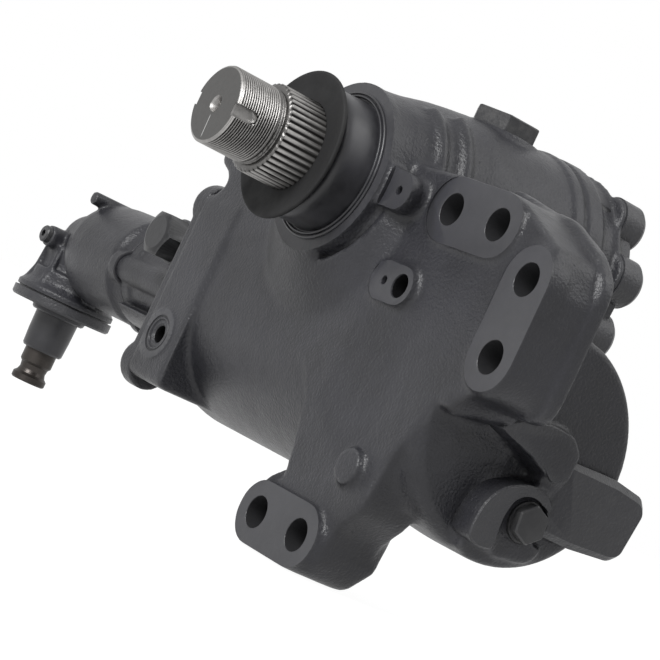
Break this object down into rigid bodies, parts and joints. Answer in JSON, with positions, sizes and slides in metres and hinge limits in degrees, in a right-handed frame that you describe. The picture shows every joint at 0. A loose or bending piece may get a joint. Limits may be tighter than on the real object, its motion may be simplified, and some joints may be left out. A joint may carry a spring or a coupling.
{
  "type": "power steering gearbox",
  "caption": "Heavy-truck recirculating-ball power steering gear with a right-angle input box, serrated output shaft and a three-pad side mount.",
  "frame": {"origin": "where the output shaft's axis meets the plane of the mounting pads", "axes": "+X along the piston from the valve end to the closed end, -Y out along the output shaft, +Z from the piston up to the output shaft"},
  "size_m": [0.6765, 0.322, 0.3116],
  "materials": {
    "black_paint": "satin black paint over rough cast iron",
    "black_paint_fastener": "satin black paint over rolled hexagon heads",
    "bare_steel": "turned and hobbed bare steel, lightly oiled",
    "ground_steel": "ground and hardened steel",
    "black_rubber": "smooth moulded black rubber",
    "dark_stub": "dark oiled steel with a brown phosphate film",
    "seal_polymer": "filled sealing polymer"
  },
  "bodies": {
    "housing": {"gear_housing": "black_paint", "output_bearing": "ground_steel", "cover_bearing": "ground_steel", "output_seal": "black_rubber", "retaining_ring": "ground_steel", "dust_seal": "black_rubber", "side_cover": "black_paint", "side_cover_seal": "black_rubber", "side_cover_bolts": "black_paint_fastener", "adjuster_screw": "black_paint_fastener", "adjuster_lock_nut": "black_paint_fastener", "thrust_bearings": "ground_steel", "bearing_retainer": "ground_steel", "valve_housing": "black_paint", "valve_housing_bolts": "black_paint_fastener", "pressure_port_plug": "black_paint_fastener", "return_port_plug": "black_paint_fastener", "relief_valve": "black_paint_fastener", "mitre_housing_screws": "black_paint_fastener", "spool_seal": "black_rubber", "mitre_housing": "black_paint", "stub_bearing": "ground_steel", "input_bearing": "ground_steel", "input_cover": "black_paint", "input_cover_gasket": "black_rubber", "input_cover_screws": "black_paint_fastener", "input_seal": "black_rubber", "grease_plug": "black_paint_fastener", "top_plug": "black_paint_fastener", "stop_screw": "black_paint_fastener", "stop_screw_washer": "black_paint_fastener"},
    "sector": {"sector_shaft": "bare_steel"},
    "piston": {"rack_piston": "ground_steel", "piston_ring": "seal_polymer", "ball_return_guide": "ground_steel", "recirculating_balls": "ground_steel", "poppet_valve": "ground_steel"},
    "worm": {"worm_shaft": "ground_steel", "sleeve_seal_rings": "seal_polymer", "spool_shaft": "ground_steel", "torsion_bar": "ground_steel", "driven_bevel_gear": "ground_steel"},
    "input": {"input_shaft": "dark_stub", "input_bevel_gear": "ground_steel", "input_boot": "black_rubber"}
  },
  "joints": [
    {"name": "output_turn", "type": "hinge", "parent": "housing", "child": "sector", "pos_m": [0, 0, 0], "axis": [0, -1, 0], "range_deg": [-48, 48]},
    {"name": "piston_stroke", "type": "slide", "parent": "housing", "child": "piston", "axis": [1, 0, 0], "range_m": [-0.044, 0.044]},
    {"name": "worm_turn", "type": "hinge", "parent": "housing", "child": "worm", "pos_m": [-0.25, 0.071, -0.1067], "axis": [1, 0, 0], "range_deg": [-990, 990]},
    {"name": "input_turn", "type": "hinge", "parent": "housing", "child": "input", "pos_m": [-0.4134, 0.071, -0.19], "axis": [0, 0, 1], "range_deg": [-990, 990]}
  ],
  "couplings": [
    {"joint": "piston_stroke", "follows": "output_turn", "m_per_rad": 0.0522},
    {"joint": "worm_turn", "follows": "output_turn", "ratio": -20.499},
    {"joint": "input_turn", "follows": "output_turn", "ratio": -20.499}
  ]
}
